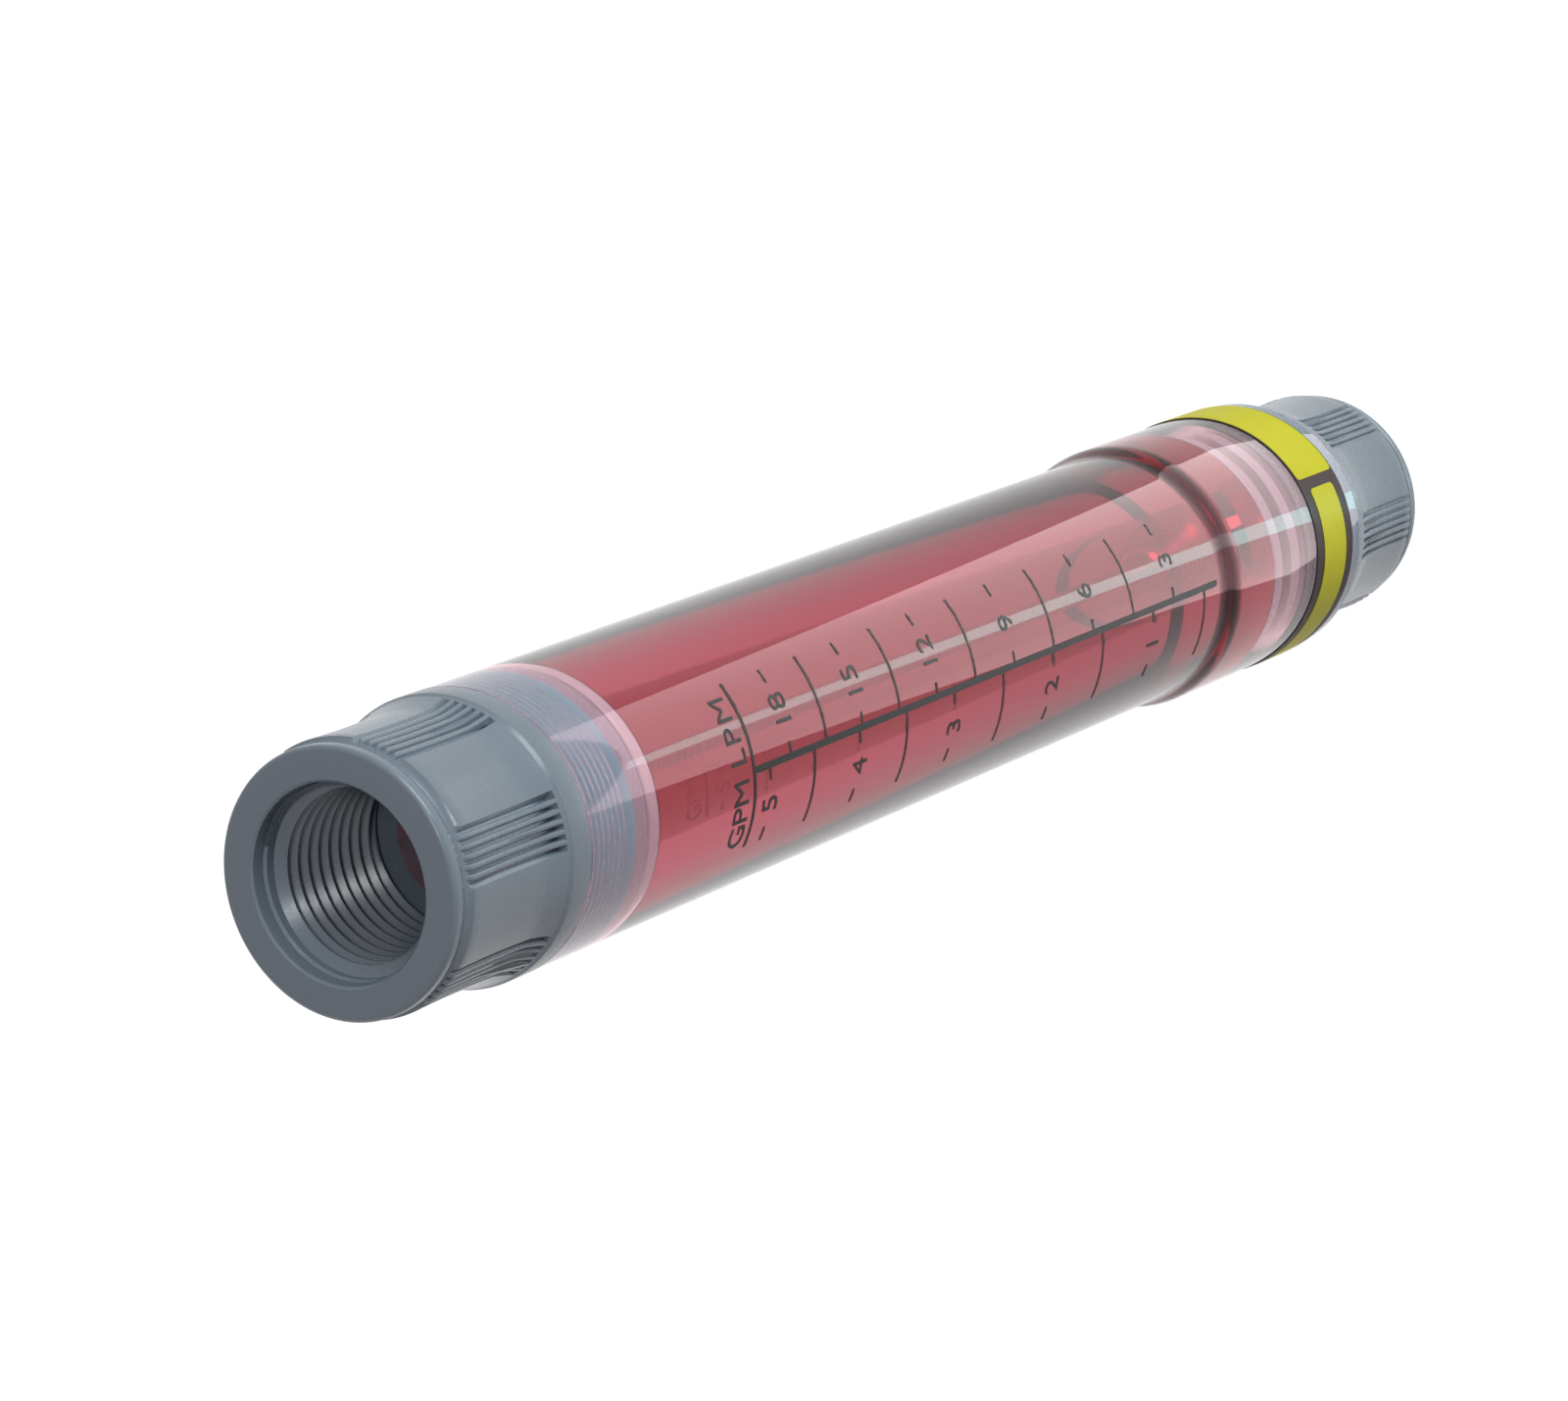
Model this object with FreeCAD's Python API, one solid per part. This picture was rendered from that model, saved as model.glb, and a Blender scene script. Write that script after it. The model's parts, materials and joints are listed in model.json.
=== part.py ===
import FreeCAD, Part
import math
import os

Vector = FreeCAD.Vector

# An in-line rotameter for a half-inch pipe. Millimetres, with Z = 0 on the inlet end face,
# +Z along the flow and the scale facing -Y. It stands on its inlet end.

# Clear metering tube
tube_length = 186.0
tube_radius = 16.0
thick_end_step = 1.0
thick_end_past_nose = 11.0
thick_end_blend = 5.0
small_bore_radius = 7.0
bore_widening = 2.2
tube_edge_chamfer = 0.3

# End fittings, the same outside at both ends
fitting_length = 23.0
collar_length = 3.5
collar_chamfer = 0.25
grip_step = 1.0
grip_hollow = 0.12
grip_length = 12.9
neck_depth = 0.8
neck_width = 1.5
rim_step = 0.4
rim_land = 0.8
rim_round = 0.6

# Grip channels, in groups round each fitting
group_count = 6
channels_per_group = 6
channel_pitch_deg = 4.1
channel_width = 0.45
channel_depth = 0.55
channel_end_wall = 0.5
outlet_group_azimuth = -20.5
inlet_group_azimuth = -38.0

# Pipe port, G 1/2 at 14 threads to the inch, its wall left plain at the thread's crests
port_minor_radius = 9.32
port_mouth_widening = 1.43
port_mouth_depth = 2.0
port_depth = 21.5

# Spigots that screw into the tube
inlet_tube_wall = 2.0
inlet_spigot_length = 24.0
inlet_thread_length = 12.0
inlet_seal_step = 0.2
outlet_tube_wall = 2.0
outlet_spigot_length = 12.9
flow_bore_radius = 7.5
thread_clearance = 0.05
nose_gap = 0.3

# O-rings
inlet_ring_section = 2.05
inlet_ring_groove_width = 2.6
inlet_ring_pitch = 5.0
inlet_ring_nose_land = 2.2
outlet_ring_section = 2.0
outlet_ring_wall_gap = 0.35
outlet_ring_holder_gap = 0.6
ring_clearance = 0.02

# Guide rod and its clips
rod_radius = 1.25
rod_fit_clearance = 0.02
rod_end_stub = 1.3
rod_groove_depth = 0.25
clip_thickness = 0.6
clip_wall = 1.35
clip_gap = 0.1
clip_mouth = 1.8

# Rod holders
holder_hub_wall = 1.55
holder_arm_count = 3
holder_arm_width = 1.6
holder_clearance = 0.05
lower_holder_rim = 1.9
lower_holder_height = 6.0
lower_holder_arm_height = 3.5
lower_holder_hub_drop = 1.0
upper_holder_lip = 1.0
upper_holder_arm_height = 4.5
upper_holder_hub_height = 6.5

# Float and its stops
float_bore_clearance = 0.4
float_foot_radius = 3.4
float_stem_radius = 2.9
float_foot_height = 0.7
float_cone_height = 3.8
float_edge_height = 0.5
float_shoulder_height = 2.5
float_stem_height = 6.5
float_stem_chamfer = 0.5
float_rod_clearance = 0.05
float_stop_gap = 0.3
stop_wall = 1.95
lower_stop_height = 2.7
upper_stop_height = 4.2

# Printed scale, which reads at the float's edge
ink_thickness = 0.08
scale_azimuth = -90.0
litre_arc_deg = 37.0
gallon_arc_deg = 32.0
scale_line_width = 0.8
scale_line_above_blend = 0.5
mark_width = 0.4
short_mark_deg = 6.0
border_width = 0.5
border_above_top_mark = 3.3
top_gallons = 5.0
gallon_step = 0.5
top_litres = 18.0
litre_step = 1.5
lowest_litres = 3.0
litres_per_gallon = 3.785
top_mark_below_limit = 3.3
mark_closing_per_gallon = 0.0376

# Label on the thick end
label_thickness = 0.12
label_width = 10.6
label_low_offset = 2.7
label_start_azimuth = 25.0
label_wrap_deg = 190.0
label_field_thickness = 0.06
label_block_wrap_deg = 85.0
label_strip_width = 6.4
label_strip_gap_deg = 6.0
label_field_margin = 0.1

# Radii that follow from the sizes above
thick_end_radius = tube_radius + thick_end_step
large_bore_radius = small_bore_radius + bore_widening
collar_radius = tube_radius
grip_radius = collar_radius - grip_step
neck_radius = grip_radius - neck_depth
rim_radius = grip_radius - rim_step
face_radius = rim_radius - rim_round
port_mouth_radius = port_minor_radius + port_mouth_widening
inlet_spigot_radius = thick_end_radius - inlet_tube_wall - thread_clearance
inlet_seal_radius = thick_end_radius - inlet_tube_wall - inlet_seal_step
inlet_groove_radius = inlet_seal_radius - inlet_ring_section
outlet_spigot_radius = tube_radius - outlet_tube_wall - thread_clearance
rod_hole_radius = rod_radius + rod_fit_clearance
rod_groove_radius = rod_radius - rod_groove_depth
clip_radius = rod_radius + clip_wall
stop_radius = rod_radius + stop_wall
holder_hub_radius = rod_radius + holder_hub_wall
lower_holder_radius = flow_bore_radius + lower_holder_rim
outlet_ring_radius = outlet_spigot_radius - outlet_ring_wall_gap - outlet_ring_section / 2
upper_holder_radius = outlet_ring_radius - outlet_ring_section / 2 - outlet_ring_holder_gap
upper_holder_window = large_bore_radius - upper_holder_lip
float_radius = small_bore_radius - float_bore_clearance

# Stations along Z that follow from the sizes above
tube_low = fitting_length
tube_high = tube_low + tube_length
total_length = tube_high + fitting_length
inlet_nose = tube_low + inlet_spigot_length
bore_low = inlet_nose + nose_gap
thick_end_high = inlet_nose + thick_end_past_nose
blend_high = thick_end_high + thick_end_blend
outlet_nose = tube_high - outlet_spigot_length
outlet_shoulder = outlet_nose - outlet_ring_section
lower_holder_low = inlet_nose - lower_holder_height
lower_hub_low = lower_holder_low - lower_holder_hub_drop
lower_arm_high = lower_holder_low + lower_holder_arm_height
float_low = lower_arm_high + lower_stop_height + float_stop_gap
cone_low = float_low + float_foot_height
edge_low = cone_low + float_cone_height
edge_high = edge_low + float_edge_height
stem_low = edge_high + float_shoulder_height
float_high = stem_low + float_stem_height
upper_hub_low = outlet_nose - upper_holder_hub_height
upper_stop_low = upper_hub_low - upper_stop_height
float_travel = upper_stop_low - float_stop_gap - float_high
lower_clip_low = lower_hub_low - clip_gap - clip_thickness
upper_clip_low = outlet_nose + clip_gap
rod_low = lower_clip_low - rod_end_stub
rod_high = upper_clip_low + clip_thickness + rod_end_stub


def outline(start, steps):
    """A closed face in the XZ plane, from (radius, z) points; a step of two points is an arc."""
    edges = []
    here = Vector(start[0], 0, start[1])
    first = here
    for step in steps:
        if isinstance(step[0], tuple):
            middle = Vector(step[0][0], 0, step[0][1])
            there = Vector(step[1][0], 0, step[1][1])
            edges.append(Part.Arc(here, middle, there).toShape())
        else:
            there = Vector(step[0], 0, step[1])
            edges.append(Part.makeLine(here, there))
        here = there
    edges.append(Part.makeLine(here, first))
    return Part.Face(Part.Wire(edges))


def turned(start, steps):
    """A solid turned about Z from the outline."""
    return outline(start, steps).revolve(Vector(0, 0, 0), Vector(0, 0, 1), 360)


def ring(inner_radius, outer_radius, low, high):
    """A plain ring about Z."""
    return turned((inner_radius, low), [(outer_radius, low), (outer_radius, high), (inner_radius, high)])


def ring_sector(inner_radius, outer_radius, low, high, start_deg, wrap_deg):
    """Part of a ring, from one azimuth counter-clockwise over the wrap."""
    corners = [(outer_radius, low), (outer_radius, high), (inner_radius, high)]
    section = outline((inner_radius, low), corners)
    sector = section.revolve(Vector(0, 0, 0), Vector(0, 0, 1), wrap_deg)
    sector.rotate(Vector(0, 0, 0), Vector(0, 0, 1), start_deg)
    return sector


def spin(shape, azimuth):
    """A copy of the shape turned about Z."""
    copy = shape.copy()
    copy.rotate(Vector(0, 0, 0), Vector(0, 0, 1), azimuth)
    return copy


def metering_tube():
    """The clear tube: tapered bore, a thicker inlet end and a counterbore at each end."""
    blend_middle = (tube_radius + thick_end_step / 2, thick_end_high + thick_end_blend / 2)
    upper_bend = (tube_radius + thick_end_step / 8, blend_high - thick_end_blend / 4)
    lower_bend = (thick_end_radius - thick_end_step / 8, thick_end_high + thick_end_blend / 4)
    inlet_thread_high = tube_low + inlet_thread_length
    outlet_counterbore = outlet_spigot_radius + thread_clearance
    inlet_counterbore = inlet_spigot_radius + thread_clearance
    return turned(
        (inlet_counterbore, tube_low),
        [
            (thick_end_radius - tube_edge_chamfer, tube_low),
            (thick_end_radius, tube_low + tube_edge_chamfer),
            (thick_end_radius, thick_end_high),
            (lower_bend, blend_middle),
            (upper_bend, (tube_radius, blend_high)),
            (tube_radius, tube_high - tube_edge_chamfer),
            (tube_radius - tube_edge_chamfer, tube_high),
            (outlet_counterbore, tube_high),
            (outlet_counterbore, outlet_shoulder),
            (large_bore_radius, outlet_shoulder),
            (small_bore_radius, bore_low),
            (inlet_seal_radius, bore_low),
            (inlet_seal_radius, inlet_thread_high),
            (inlet_counterbore, inlet_thread_high),
        ],
    )


def fitting_blank(spigot_steps):
    """A fitting turned about Z with its end face at z = 0; the steps finish the spigot and flow bore."""
    neck_low = rim_round + rim_land
    neck_middle = neck_low + neck_width / 2
    grip_low = neck_low + neck_width
    grip_high = grip_low + grip_length
    collar_low = fitting_length - collar_length
    rise_middle = (grip_radius + grip_step / 3, (grip_high + collar_low) / 2)
    rim_corner = rim_round * (1 - math.sqrt(0.5))
    return turned(
        (port_mouth_radius, 0),
        [
            (face_radius, 0),
            ((rim_radius - rim_corner, rim_corner), (rim_radius, rim_round)),
            (rim_radius, neck_low),
            ((neck_radius, neck_middle), (grip_radius, grip_low)),
            ((grip_radius - grip_hollow, (grip_low + grip_high) / 2), (grip_radius, grip_high)),
            (rise_middle, (collar_radius - collar_chamfer, collar_low)),
            (collar_radius, collar_low + collar_chamfer),
            (collar_radius, fitting_length),
        ]
        + spigot_steps
        + [
            (flow_bore_radius, port_depth),
            (port_minor_radius, port_depth),
            (port_minor_radius, port_mouth_depth + port_mouth_radius - port_minor_radius),
            (port_mouth_radius, port_mouth_depth),
        ],
    )


def grip_channels():
    """The cutters of every grip channel, the first group centred on +X."""
    neck_middle = rim_round + rim_land + neck_width / 2
    channel_high = fitting_length - collar_length - channel_end_wall
    floor_radius = grip_radius - channel_depth
    cutter = Part.makeBox(
        collar_radius,
        channel_width,
        channel_high - neck_middle,
        Vector(floor_radius, -channel_width / 2, neck_middle),
    )
    first_deg = -channel_pitch_deg * (channels_per_group - 1) / 2
    cutters = []
    for group in range(group_count):
        for channel in range(channels_per_group):
            azimuth = group * 360.0 / group_count + first_deg + channel * channel_pitch_deg
            cutters.append(spin(cutter, azimuth))
    return Part.makeCompound(cutters)


def inlet_ring_stations():
    """The Z of the two O-ring grooves' middles on the inlet spigot."""
    upper = inlet_nose - inlet_ring_nose_land - inlet_ring_groove_width / 2
    return [upper - inlet_ring_pitch, upper]


def inlet_fitting():
    """The inlet fitting: a long spigot with a thread, two O-ring grooves and the lower holder's seat."""
    thread_high = tube_low + inlet_thread_length
    land_radius = inlet_seal_radius - thread_clearance
    seat_radius = lower_holder_radius + holder_clearance
    body = fitting_blank(
        [
            (inlet_spigot_radius, tube_low),
            (inlet_spigot_radius, thread_high - thread_clearance),
            (land_radius, thread_high - thread_clearance),
            (land_radius, inlet_nose),
            (seat_radius, inlet_nose),
            (seat_radius, lower_holder_low),
            (flow_bore_radius, lower_holder_low),
        ]
    )
    for station in inlet_ring_stations():
        half_width = inlet_ring_groove_width / 2
        groove = ring(inlet_groove_radius, collar_radius, station - half_width, station + half_width)
        body = body.cut(groove)
    return body.cut(spin(grip_channels(), inlet_group_azimuth))


def outlet_fitting():
    """The outlet fitting: a short threaded spigot, turned over to face up."""
    spigot_high = fitting_length + outlet_spigot_length
    body = fitting_blank(
        [
            (outlet_spigot_radius, fitting_length),
            (outlet_spigot_radius, spigot_high),
            (flow_bore_radius, spigot_high),
        ]
    )
    body = body.cut(spin(grip_channels(), -outlet_group_azimuth))
    body.rotate(Vector(0, 0, 0), Vector(1, 0, 0), 180)
    body.translate(Vector(0, 0, total_length))
    return body


def inlet_o_ring(station):
    """One O-ring on the inlet spigot."""
    middle_radius = (inlet_groove_radius + inlet_seal_radius) / 2
    return Part.makeTorus(middle_radius, inlet_ring_section / 2 - ring_clearance, Vector(0, 0, station))


def outlet_o_ring():
    """The O-ring between the outlet spigot's nose and the tube's shoulder."""
    middle = (outlet_nose + outlet_shoulder) / 2
    section_radius = outlet_ring_section / 2 - ring_clearance
    return Part.makeTorus(outlet_ring_radius, section_radius, Vector(0, 0, middle))


def guide_rod():
    """The guide rod on the axis, with a groove for each clip."""
    rod = Part.makeCylinder(rod_radius, rod_high - rod_low, Vector(0, 0, rod_low))
    for low in (lower_clip_low, upper_clip_low):
        groove = ring(rod_groove_radius, rod_radius * 2, low, low + clip_thickness)
        rod = rod.cut(groove)
    return rod


def rod_clip(low):
    """A spring clip with an open mouth that snaps on to the rod's groove."""
    clip = ring(rod_groove_radius + rod_fit_clearance, clip_radius, low, low + clip_thickness)
    mouth = Part.makeBox(clip_radius * 2, clip_mouth, clip_thickness, Vector(0, -clip_mouth / 2, low))
    return clip.cut(mouth)


def holder_arms(reach, low, high):
    """The arms of a rod holder, from the axis out to the reach."""
    arm = Part.makeBox(reach, holder_arm_width, high - low, Vector(0, -holder_arm_width / 2, low))
    arms = arm
    for index in range(1, holder_arm_count):
        arms = arms.fuse(spin(arm, index * 360.0 / holder_arm_count))
    return arms


def rod_holder(rim, hub, arms):
    """A rod holder: rim, hub and arms in one piece, with the rod's hole."""
    holder = rim.fuse(hub).fuse(arms)
    box = holder.BoundBox
    hole = Part.makeCylinder(rod_hole_radius, box.ZLength, Vector(0, 0, box.ZMin))
    return holder.cut(hole).removeSplitter()


def lower_rod_holder():
    """The holder seated in the inlet spigot's nose."""
    rim = ring(flow_bore_radius, lower_holder_radius, lower_holder_low, inlet_nose)
    hub = Part.makeCylinder(holder_hub_radius, lower_arm_high - lower_hub_low, Vector(0, 0, lower_hub_low))
    arms = holder_arms(flow_bore_radius + lower_holder_rim / 2, lower_holder_low, lower_arm_high)
    return rod_holder(rim, hub, arms)


def upper_rod_holder():
    """The holder trapped between the tube's shoulder and the outlet spigot's nose."""
    rim = ring(upper_holder_window, upper_holder_radius, outlet_shoulder, outlet_nose)
    hub = Part.makeCylinder(holder_hub_radius, outlet_nose - upper_hub_low, Vector(0, 0, upper_hub_low))
    arm_reach = (upper_holder_window + large_bore_radius) / 2
    arms = holder_arms(arm_reach, outlet_nose - upper_holder_arm_height, outlet_nose)
    return rod_holder(rim, hub, arms)


def float_stop(low, height):
    """A bumper sleeve on the rod."""
    return ring(rod_hole_radius, stop_radius, low, low + height)


def float_body():
    """The float: a foot, a cone up to the reading edge, a shoulder and a guide stem."""
    bore_radius = rod_radius + float_rod_clearance
    return turned(
        (bore_radius, float_low),
        [
            (float_foot_radius - float_foot_height, float_low),
            (float_foot_radius, cone_low),
            (float_radius, edge_low),
            (float_radius, edge_high),
            (float_stem_radius, stem_low),
            (float_stem_radius, float_high - float_stem_chamfer),
            (float_stem_radius - float_stem_chamfer, float_high),
            (bore_radius, float_high),
        ],
    )


def mark_station(gallons):
    """The height of the mark for a flow in gallons a minute; the marks close up towards the top."""
    top_share = top_gallons * (1 - mark_closing_per_gallon * top_gallons)
    share = gallons * (1 - mark_closing_per_gallon * gallons) / top_share
    return edge_high + (float_travel - top_mark_below_limit) * share


def ink_mark(station, width, start_deg, wrap_deg):
    """One printed line round the tube."""
    outer = tube_radius + ink_thickness
    return ring_sector(tube_radius, outer, station - width / 2, station + width / 2, start_deg, wrap_deg)


def line_half_deg():
    """Half the angle that the scale's centre line takes."""
    return math.degrees(scale_line_width / 2 / tube_radius)


def side_marks(flows, side, side_arc_deg):
    """The marks on one side of the centre line: full arcs at the half steps, short ends at the numbers."""
    marks = []
    for index, gallons in enumerate(flows):
        station = mark_station(gallons)
        if index % 2:
            spans = [(line_half_deg(), side_arc_deg)]
        else:
            spans = [(line_half_deg(), short_mark_deg), (side_arc_deg - short_mark_deg, side_arc_deg)]
        for near_deg, far_deg in spans:
            low_deg = near_deg if side > 0 else -far_deg
            marks.append(ink_mark(station, mark_width, scale_azimuth + low_deg, far_deg - near_deg))
    return Part.makeCompound(marks)


def gallon_flows():
    """The marked flows in gallons a minute, from the top down."""
    count = round(top_gallons / gallon_step)
    return [top_gallons - gallon_step * index for index in range(count)]


def litre_flows():
    """The marked flows in litres a minute, as gallons a minute, from the top down."""
    count = round((top_litres - lowest_litres) / litre_step) + 1
    return [(top_litres - litre_step * index) / litres_per_gallon for index in range(count)]


def border_station():
    """The height of the arc that closes the scale at the top."""
    return mark_station(top_gallons) + border_above_top_mark


def scale_line():
    """The centre line of the scale, from just above the thick end up to the border."""
    low = blend_high + scale_line_above_blend
    high = border_station() - border_width / 2
    middle = (low + high) / 2
    return ink_mark(middle, high - low, scale_azimuth - line_half_deg(), 2 * line_half_deg())


def scale_border():
    """The arc across the top of both scales."""
    wrap_deg = litre_arc_deg + gallon_arc_deg
    return ink_mark(border_station(), border_width, scale_azimuth - gallon_arc_deg, wrap_deg)


def label_film():
    """The dark film of the label, wrapped round the thick end."""
    low = tube_low + label_low_offset
    outer = thick_end_radius + label_thickness
    start = label_start_azimuth - label_wrap_deg
    return ring_sector(thick_end_radius, outer, low, low + label_width, start, label_wrap_deg)


def label_fields():
    """The label's bright fields: a wide block, then a narrow strip along the middle."""
    film_low = tube_low + label_low_offset
    film_middle = film_low + label_width / 2
    inner = thick_end_radius + label_thickness
    outer = inner + label_field_thickness
    block_start = label_start_azimuth - label_block_wrap_deg
    strip_wrap = label_wrap_deg - label_block_wrap_deg - label_strip_gap_deg
    strip_start = block_start - label_strip_gap_deg - strip_wrap
    block = ring_sector(
        inner,
        outer,
        film_low + label_field_margin,
        film_low + label_width - label_field_margin,
        block_start,
        label_block_wrap_deg,
    )
    strip = ring_sector(
        inner,
        outer,
        film_middle - label_strip_width / 2,
        film_middle + label_strip_width / 2,
        strip_start,
        strip_wrap,
    )
    return Part.makeCompound([block, strip])


def all_nodes():
    """Every piece of the rotameter by its node's name."""
    lower_ring_station, upper_ring_station = inlet_ring_stations()
    return {
        "metering_tube": metering_tube(),
        "inlet_fitting": inlet_fitting(),
        "outlet_fitting": outlet_fitting(),
        "inlet_o_ring_lower": inlet_o_ring(lower_ring_station),
        "inlet_o_ring_upper": inlet_o_ring(upper_ring_station),
        "outlet_o_ring": outlet_o_ring(),
        "guide_rod": guide_rod(),
        "lower_rod_clip": rod_clip(lower_clip_low),
        "upper_rod_clip": rod_clip(upper_clip_low),
        "lower_rod_holder": lower_rod_holder(),
        "upper_rod_holder": upper_rod_holder(),
        "lower_float_stop": float_stop(lower_arm_high, lower_stop_height),
        "upper_float_stop": float_stop(upper_stop_low, upper_stop_height),
        "float_body": float_body(),
        "scale_line": scale_line(),
        "scale_border": scale_border(),
        "litre_marks": side_marks(litre_flows(), 1, litre_arc_deg),
        "gallon_marks": side_marks(gallon_flows(), -1, gallon_arc_deg),
        "label_film": label_film(),
        "label_fields": label_fields(),
    }


os.makedirs("parts", exist_ok=True)
for node_name, node_shape in all_nodes().items():
    node_shape.exportStep(os.path.join("parts", node_name + ".step"))
    print(node_name, len(node_shape.Solids), round(node_shape.Volume, 1), node_shape.isValid())
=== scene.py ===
import json
import math
import bmesh
import bpy
from mathutils import Matrix, Vector


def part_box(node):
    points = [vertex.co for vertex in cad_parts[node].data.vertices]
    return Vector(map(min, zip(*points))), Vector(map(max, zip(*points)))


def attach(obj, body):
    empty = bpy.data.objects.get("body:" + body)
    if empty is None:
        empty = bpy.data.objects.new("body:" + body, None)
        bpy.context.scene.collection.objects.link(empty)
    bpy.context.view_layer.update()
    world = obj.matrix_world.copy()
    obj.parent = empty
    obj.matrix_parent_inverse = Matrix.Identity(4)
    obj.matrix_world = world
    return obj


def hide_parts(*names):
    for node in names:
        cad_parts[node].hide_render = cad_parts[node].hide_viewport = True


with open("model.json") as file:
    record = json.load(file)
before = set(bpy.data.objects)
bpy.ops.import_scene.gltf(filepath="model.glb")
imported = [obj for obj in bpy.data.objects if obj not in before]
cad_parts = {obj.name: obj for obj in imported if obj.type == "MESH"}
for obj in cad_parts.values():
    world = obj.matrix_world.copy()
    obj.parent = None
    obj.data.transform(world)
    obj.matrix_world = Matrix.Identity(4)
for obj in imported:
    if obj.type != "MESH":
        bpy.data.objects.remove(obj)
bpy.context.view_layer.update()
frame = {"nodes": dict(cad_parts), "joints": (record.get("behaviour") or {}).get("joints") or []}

mm = 0.001
turnMerge = 0.002 * mm    # points closer than this become one when a turned piece is closed
flatMerge = 0.0005 * mm   # the same for print and film
frontAzimuth = -90.0      # the side that the scale faces, in degrees

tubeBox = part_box("metering_tube")
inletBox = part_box("inlet_fitting")
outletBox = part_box("outlet_fitting")
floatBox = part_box("float_body")
tubeLow = tubeBox[0].z
tubeHigh = tubeBox[1].z
totalHigh = outletBox[1].z
thickRadius = tubeBox[1].x
collarRadius = outletBox[1].x
tubeRadius = collarRadius
fittingLength = totalHigh - tubeHigh
inletNose = inletBox[1].z
outletNose = outletBox[0].z


def arcThrough(start, middle, end, count):
    # points on the circle through three (radius, height) points, without the first one
    (ax, ay), (bx, by), (cx, cy) = start, middle, end
    d = 2 * (ax * (by - cy) + bx * (cy - ay) + cx * (ay - by))
    aa, bb, cc = ax * ax + ay * ay, bx * bx + by * by, cx * cx + cy * cy
    ux = (aa * (by - cy) + bb * (cy - ay) + cc * (ay - by)) / d
    uy = (aa * (cx - bx) + bb * (ax - cx) + cc * (bx - ax)) / d
    radius = math.hypot(ax - ux, ay - uy)
    first = math.atan2(ay - uy, ax - ux)
    through = (math.atan2(by - uy, bx - ux) - first) % math.tau
    last = (math.atan2(cy - uy, cx - ux) - first) % math.tau
    if through > last:
        last -= math.tau
    angles = [first + last * i / count for i in range(1, count + 1)]
    return [(ux + radius * math.cos(angle), uy + radius * math.sin(angle)) for angle in angles]


def straight(start, end, count):
    # evenly spaced points on a line, without the first one
    (ax, ay), (bx, by) = start, end
    return [(ax + (bx - ax) * i / count, ay + (by - ay) * i / count) for i in range(1, count + 1)]


def softened(corners, radius, count=4, edgeShare=0.45):
    # the closed outline with each corner rounded by the radius, or by what its edges allow
    rounded = []
    for i, corner in enumerate(corners):
        before = Vector(corners[i - 1])
        here = Vector(corner)
        after = Vector(corners[(i + 1) % len(corners)])
        shorter = min((before - here).length, (after - here).length)
        reach = min(radius, shorter * edgeShare)
        start = here + (before - here).normalized() * reach
        end = here + (after - here).normalized() * reach
        for k in range(count + 1):
            t = k / count
            point = start * (1 - t) ** 2 + here * 2 * t * (1 - t) + end * t * t
            rounded.append((point.x, point.y))
    return rounded


def linked(name, data):
    # a new object at the origin, in the scene
    made = bpy.data.objects.new(name, data)
    bpy.context.scene.collection.objects.link(made)
    return made


def keptMesh(name, work):
    # the mesh that was worked on, as a new object
    mesh = bpy.data.meshes.new(name)
    work.to_mesh(mesh)
    work.free()
    return linked(name, mesh)


def outlineObject(name, points, closed=True):
    # the outline as loose edges, radius along X and height along Z, in metres
    mesh = bpy.data.meshes.new(name)
    ring = list(points) + ([points[0]] if closed else [])
    edges = [(i, i + 1) for i in range(len(ring) - 1)]
    mesh.from_pydata([(x, 0, z) for x, z in ring], edges, [])
    return linked(name, mesh)


def finishMesh(made, sharpDegrees=35, merge=turnMerge, fill=False):
    # one clean shell: doubles merged, open ends filled, faces outward, smooth between sharp edges
    work = bmesh.new()
    work.from_mesh(made.data)
    bmesh.ops.remove_doubles(work, verts=work.verts, dist=merge)
    if fill:
        bmesh.ops.holes_fill(work, edges=[e for e in work.edges if e.is_boundary])
    bmesh.ops.recalc_face_normals(work, faces=work.faces)
    work.to_mesh(made.data)
    work.free()
    made.data.shade_smooth()
    made.data.set_sharp_from_angle(angle=math.radians(sharpDegrees))
    made.data.update()
    return made


def newTree(name, counts=(), sizes=()):
    # a geometry tree: its inputs are whole numbers, then lengths, angles and shares, then a material
    tree = bpy.data.node_groups.new(name, "GeometryNodeTree")
    kinds = [("Geometry", "Geometry")] + [(label, "Int") for label in counts]
    kinds += [(label, "Float") for label in sizes] + [("Material", "Material")]
    for label, kind in kinds:
        tree.interface.new_socket(label, in_out="INPUT", socket_type="NodeSocket" + kind)
    tree.interface.new_socket("Geometry", in_out="OUTPUT", socket_type="NodeSocketGeometry")
    return tree, tree.nodes.new("NodeGroupInput").outputs, tree.nodes.new("NodeGroupOutput")


def feed(node, feeds):
    # each named input takes another node's output or a plain value
    for key, value in feeds.items():
        if isinstance(value, bpy.types.NodeSocket):
            node.id_data.links.new(value, node.inputs[key])
        else:
            node.inputs[key].default_value = value


def addNode(tree, kind, feeds=None, **settings):
    made = tree.nodes.new(kind)
    for key, value in settings.items():
        setattr(made, key, value)
    feed(made, feeds or {})
    return made


def calc(operation, *terms):
    # a math node in the tree that its terms belong to
    tree = next(term.id_data for term in terms if isinstance(term, bpy.types.NodeSocket))
    return addNode(tree, "ShaderNodeMath", dict(enumerate(terms)), operation=operation).outputs[0]


def plus(first, second):
    return calc("ADD", first, second)


def minus(first, second):
    return calc("SUBTRACT", first, second)


def times(first, second):
    return calc("MULTIPLY", first, second)


def over(first, second):
    return calc("DIVIDE", first, second)


def vectorOf(tree, x, y, z):
    return addNode(tree, "ShaderNodeCombineXYZ", {"X": x, "Y": y, "Z": z}).outputs[0]


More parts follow.
